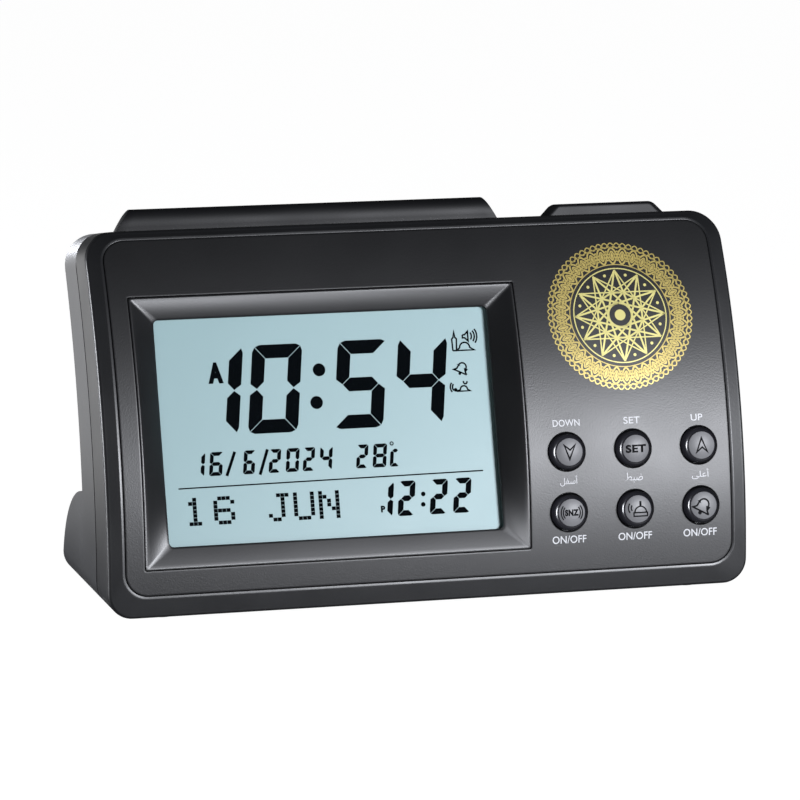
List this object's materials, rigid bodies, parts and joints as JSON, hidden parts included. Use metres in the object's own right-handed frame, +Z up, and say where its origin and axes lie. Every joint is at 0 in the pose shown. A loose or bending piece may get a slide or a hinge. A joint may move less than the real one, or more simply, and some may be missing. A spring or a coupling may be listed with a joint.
{
  "type": "azan clock",
  "caption": "Desk prayer and alarm clock with a curved leaning face, a large segment display, round keys, a snooze bar and a light key on top, a speaker and a battery bay.",
  "frame": {"origin": "on the table under the middle of the clock: centre of the bounding box, at the underside of the rubber pads", "axes": "+X is the right of a viewer who faces the display, +Y runs from the face to the back, +Z is up"},
  "size_m": [0.175, 0.0568, 0.1014],
  "materials": {
    "case_plastic": "satin, fine grain",
    "panel_plastic": "satin",
    "bezel_plastic": "satin",
    "key_plastic": "satin",
    "clear_plastic": "polished",
    "display_glass": "polished",
    "white_plastic": "matte",
    "guide_plastic": "polished",
    "led_body": "polished",
    "contact_rubber": "matte",
    "circuit_board": "solder mask",
    "chip_resin": "cast resin",
    "can_steel": "tinned",
    "capacitor_sleeve": "shrink sleeve",
    "sensor_resin": "cast resin",
    "switch_metal": "pressed",
    "pressed_steel": "zinc plated",
    "cone_paper": "coated",
    "magnet_steel": "coated ferrite",
    "gasket_rubber": "matte",
    "cell_sleeve": "gloss sleeve",
    "contact_steel": "nickel plated",
    "screw_steel": "zinc plated",
    "pad_rubber": "matte"
  },
  "bodies": {
    "case": {"front_frame": "case_plastic", "mid_housing": "case_plastic", "rear_shell": "case_plastic", "front_panel": "panel_plastic", "screen_bezel": "bezel_plastic", "lens_window": "clear_plastic", "lcd_glass": "display_glass", "lcd_holder": "white_plastic", "light_guide": "guide_plastic", "backlight_leds": "led_body", "contact_strip": "contact_rubber", "main_board": "circuit_board", "board_chips": "chip_resin", "quartz_crystal": "can_steel", "audio_capacitor": "capacitor_sleeve", "temperature_sensor": "sensor_resin", "key_board": "circuit_board", "key_switches": "switch_metal", "top_board": "circuit_board", "top_switches": "switch_metal", "speaker_basket": "pressed_steel", "speaker_cone": "cone_paper", "speaker_magnet": "magnet_steel", "speaker_gasket": "gasket_rubber", "battery_cells": "cell_sleeve", "battery_springs": "contact_steel", "battery_plates": "contact_steel", "case_screws": "screw_steel", "board_screws": "screw_steel", "rubber_pads": "pad_rubber"},
    "down_key": {"down_key": "key_plastic"},
    "set_key": {"set_key": "key_plastic"},
    "up_key": {"up_key": "key_plastic"},
    "snooze_key": {"snooze_key": "key_plastic"},
    "azan_key": {"azan_key": "key_plastic"},
    "alarm_key": {"alarm_key": "key_plastic"},
    "snooze_bar": {"snooze_bar": "case_plastic"},
    "light_key": {"light_key": "case_plastic"},
    "battery_door": {"battery_door": "case_plastic"}
  },
  "joints": [
    {"name": "down_press", "type": "slide", "parent": "case", "child": "down_key", "axis": [0, 0.9826, -0.1858], "range_m": [0, 0.0006], "stiffness_N_per_m": 600, "springref_m": -0.001},
    {"name": "set_press", "type": "slide", "parent": "case", "child": "set_key", "axis": [0, 0.9826, -0.1858], "range_m": [0, 0.0006], "stiffness_N_per_m": 600, "springref_m": -0.001},
    {"name": "up_press", "type": "slide", "parent": "case", "child": "up_key", "axis": [0, 0.9826, -0.1858], "range_m": [0, 0.0006], "stiffness_N_per_m": 600, "springref_m": -0.001},
    {"name": "snooze_press", "type": "slide", "parent": "case", "child": "snooze_key", "axis": [0, 0.9826, -0.1858], "range_m": [0, 0.0006], "stiffness_N_per_m": 600, "springref_m": -0.001},
    {"name": "azan_press", "type": "slide", "parent": "case", "child": "azan_key", "axis": [0, 0.9826, -0.1858], "range_m": [0, 0.0006], "stiffness_N_per_m": 600, "springref_m": -0.001},
    {"name": "alarm_press", "type": "slide", "parent": "case", "child": "alarm_key", "axis": [0, 0.9826, -0.1858], "range_m": [0, 0.0006], "stiffness_N_per_m": 600, "springref_m": -0.001},
    {"name": "snooze_bar_press", "type": "slide", "parent": "case", "child": "snooze_bar", "axis": [0, -0.1908, -0.9816], "range_m": [0, 0.0012], "stiffness_N_per_m": 600, "springref_m": -0.001},
    {"name": "light_key_press", "type": "slide", "parent": "case", "child": "light_key", "axis": [0, -0.1908, -0.9816], "range_m": [0, 0.0008], "stiffness_N_per_m": 600, "springref_m": -0.001},
    {"name": "battery_door_hinge", "type": "hinge", "parent": "case", "child": "battery_door", "pos_m": [0.0545, 0.00493, 0.03513], "axis": [-1, 0, 0], "range_deg": [0, 60]}
  ]
}
